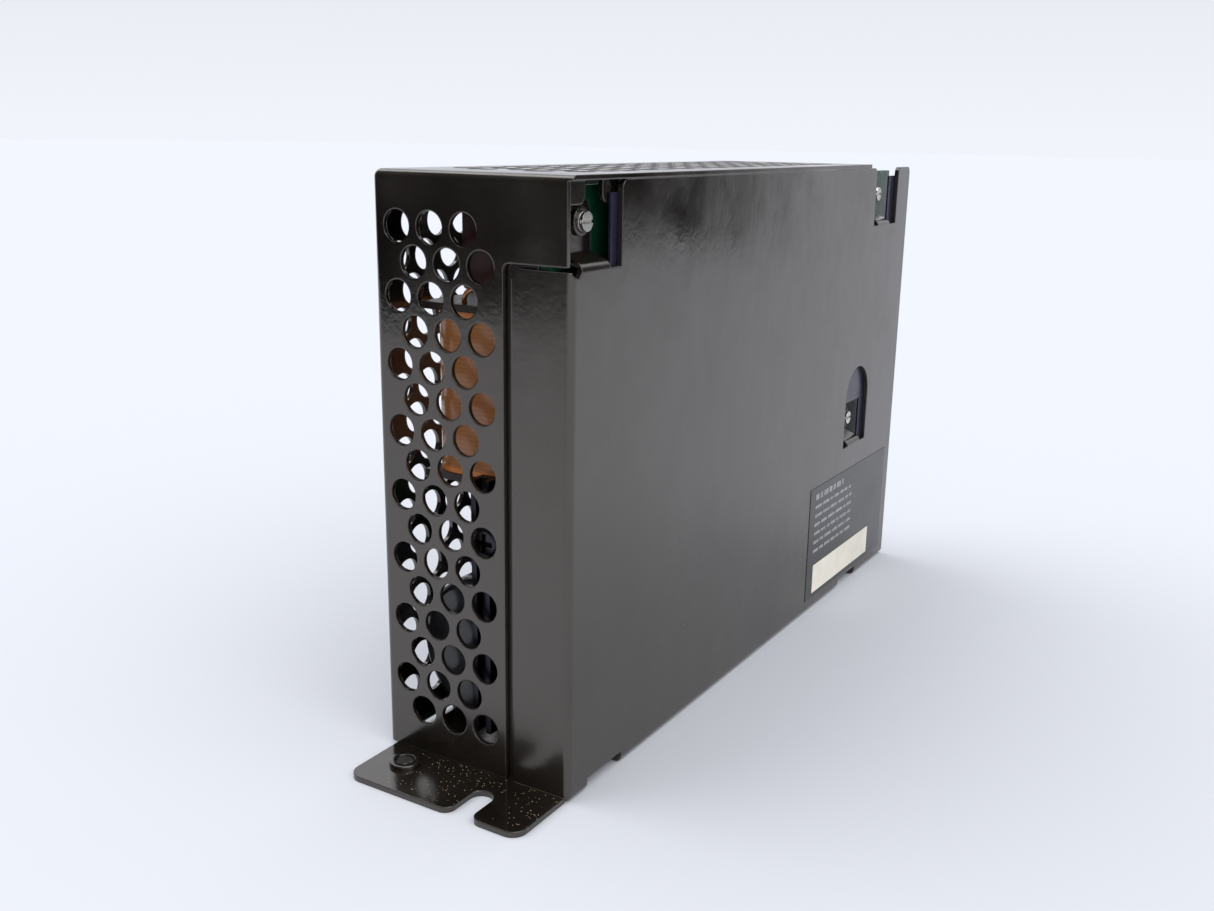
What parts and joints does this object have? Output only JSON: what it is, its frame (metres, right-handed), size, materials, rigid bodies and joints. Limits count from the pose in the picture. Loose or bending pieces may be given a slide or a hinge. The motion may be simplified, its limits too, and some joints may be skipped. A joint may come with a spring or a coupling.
{
  "type": "enclosed switch-mode power supply",
  "caption": "Slim black steel boxed power supply with perforated cover, open terminal end and a slotted mounting flange.",
  "frame": {"origin": "centre of the bounding box at the mounting face (the bottom)", "axes": "+Y from the flanged, perforated end to the terminal end; +X from the perforated side wall to the plain side; +Z away from the mounting face"},
  "size_m": [0.0382, 0.163, 0.1],
  "materials": {
    "black_paint": "glossy black stoved paint on folded steel sheet, with faint orange peel and handling marks",
    "black_screw": "black-coated steel screw",
    "nickel_screw": "nickel-plated steel screw",
    "nickel_plate": "nickel-plated steel",
    "tinned_brass": "tin-plated brass",
    "solder_mask": "green solder mask on glass epoxy board",
    "grey_film": "grey polyester insulating film",
    "label_film": "dark printed polyester label, left blank",
    "cream_paper": "cream blank write-on label",
    "ferrite": "sintered ferrite",
    "phenolic": "dark moulded phenolic",
    "amber_tape": "amber-brown polyester winding tape",
    "black_sleeve": "black shrink sleeve",
    "dark_sleeve": "dark brown shrink sleeve with bare vent end",
    "black_plastic": "black glass-filled moulding",
    "black_anodised": "black anodised aluminium",
    "black_epoxy": "black moulding compound",
    "maroon_epoxy": "dark maroon dipped epoxy",
    "enamelled_copper": "enamelled copper wire",
    "yellow_case": "yellow moulded film-capacitor case",
    "blue_epoxy": "blue dipped epoxy",
    "dark_green_epoxy": "dark green dipped coating",
    "grey_blue_lacquer": "grey-blue resistor lacquer",
    "fuse_glass": "clear fuse glass",
    "blue_plastic": "blue trimmer housing",
    "white_plastic": "off-white trimmer rotor",
    "green_lens": "green diffused lamp lens"
  },
  "bodies": {
    "root": {"chassis": "black_paint", "mounting_nuts": "black_paint", "perforated_cover": "black_paint", "cover_screws": "black_screw", "circuit_board": "solder_mask", "board_screws": "nickel_screw", "insulating_film": "grey_film", "rating_label": "label_film", "serial_label": "cream_paper", "transformer_core_lower": "ferrite", "transformer_core_upper": "ferrite", "transformer_bobbin": "phenolic", "transformer_winding": "amber_tape", "bulk_capacitor": "black_sleeve", "bulk_capacitor_holder": "black_plastic", "output_heat_sink": "black_anodised", "output_diode": "black_epoxy", "output_diode_screw": "black_screw", "film_capacitor": "maroon_epoxy", "output_capacitors": "dark_sleeve", "output_choke_core": "ferrite", "output_choke_winding": "enamelled_copper", "line_choke_core": "phenolic", "line_choke_windings": "enamelled_copper", "switch_heat_sink": "black_anodised", "switch_transistor": "black_epoxy", "switch_transistor_screw": "nickel_screw", "bridge_rectifier": "black_epoxy", "interference_capacitor": "yellow_case", "safety_capacitors": "blue_epoxy", "varistor": "blue_epoxy", "thermistor": "dark_green_epoxy", "auxiliary_capacitor": "dark_sleeve", "control_ic": "black_epoxy", "optocouplers": "black_epoxy", "power_resistors": "grey_blue_lacquer", "fuse_tube": "fuse_glass", "fuse_caps": "nickel_plate", "fuse_clips": "tinned_brass", "terminal_block": "black_plastic", "terminal_contacts": "tinned_brass", "voltage_trimmer_body": "blue_plastic", "status_led": "green_lens"},
    "trimmer_rotor": {"voltage_trimmer_rotor": "white_plastic"},
    "clamp_1": {"terminal_clamp_1": "nickel_plate"},
    "screw_1": {"terminal_screw_1": "nickel_screw"},
    "clamp_2": {"terminal_clamp_2": "nickel_plate"},
    "screw_2": {"terminal_screw_2": "nickel_screw"},
    "clamp_3": {"terminal_clamp_3": "nickel_plate"},
    "screw_3": {"terminal_screw_3": "nickel_screw"},
    "clamp_4": {"terminal_clamp_4": "nickel_plate"},
    "screw_4": {"terminal_screw_4": "nickel_screw"},
    "clamp_5": {"terminal_clamp_5": "nickel_plate"},
    "screw_5": {"terminal_screw_5": "nickel_screw"}
  },
  "joints": [
    {"name": "voltage_trim", "type": "hinge", "parent": "root", "child": "trimmer_rotor", "pos_m": [0.0076, 0.0705, 0.0765], "axis": [-1, 0, 0], "range_deg": [-130, 130]},
    {"name": "clamp_1_lift", "type": "slide", "parent": "root", "child": "clamp_1", "axis": [-1, 0, 0], "range_m": [0, 0.0024]},
    {"name": "screw_1_turn", "type": "hinge", "parent": "clamp_1", "child": "screw_1", "pos_m": [0.0018, 0.072, 0.0175], "axis": [-1, 0, 0], "range_deg": [0, 1441]},
    {"name": "clamp_2_lift", "type": "slide", "parent": "root", "child": "clamp_2", "axis": [-1, 0, 0], "range_m": [0, 0.0024]},
    {"name": "screw_2_turn", "type": "hinge", "parent": "clamp_2", "child": "screw_2", "pos_m": [0.0018, 0.072, 0.027], "axis": [-1, 0, 0], "range_deg": [0, 1441]},
    {"name": "clamp_3_lift", "type": "slide", "parent": "root", "child": "clamp_3", "axis": [-1, 0, 0], "range_m": [0, 0.0024]},
    {"name": "screw_3_turn", "type": "hinge", "parent": "clamp_3", "child": "screw_3", "pos_m": [0.0018, 0.072, 0.0365], "axis": [-1, 0, 0], "range_deg": [0, 1441]},
    {"name": "clamp_4_lift", "type": "slide", "parent": "root", "child": "clamp_4", "axis": [-1, 0, 0], "range_m": [0, 0.0024]},
    {"name": "screw_4_turn", "type": "hinge", "parent": "clamp_4", "child": "screw_4", "pos_m": [0.0018, 0.072, 0.046], "axis": [-1, 0, 0], "range_deg": [0, 1441]},
    {"name": "clamp_5_lift", "type": "slide", "parent": "root", "child": "clamp_5", "axis": [-1, 0, 0], "range_m": [0, 0.0024]},
    {"name": "screw_5_turn", "type": "hinge", "parent": "clamp_5", "child": "screw_5", "pos_m": [0.0018, 0.072, 0.0555], "axis": [-1, 0, 0], "range_deg": [0, 1441]}
  ],
  "couplings": [
    {"joint": "screw_1_turn", "follows": "clamp_1_lift", "rad_per_m": 10472},
    {"joint": "screw_2_turn", "follows": "clamp_2_lift", "rad_per_m": 10472},
    {"joint": "screw_3_turn", "follows": "clamp_3_lift", "rad_per_m": 10472},
    {"joint": "screw_4_turn", "follows": "clamp_4_lift", "rad_per_m": 10472},
    {"joint": "screw_5_turn", "follows": "clamp_5_lift", "rad_per_m": 10472}
  ]
}
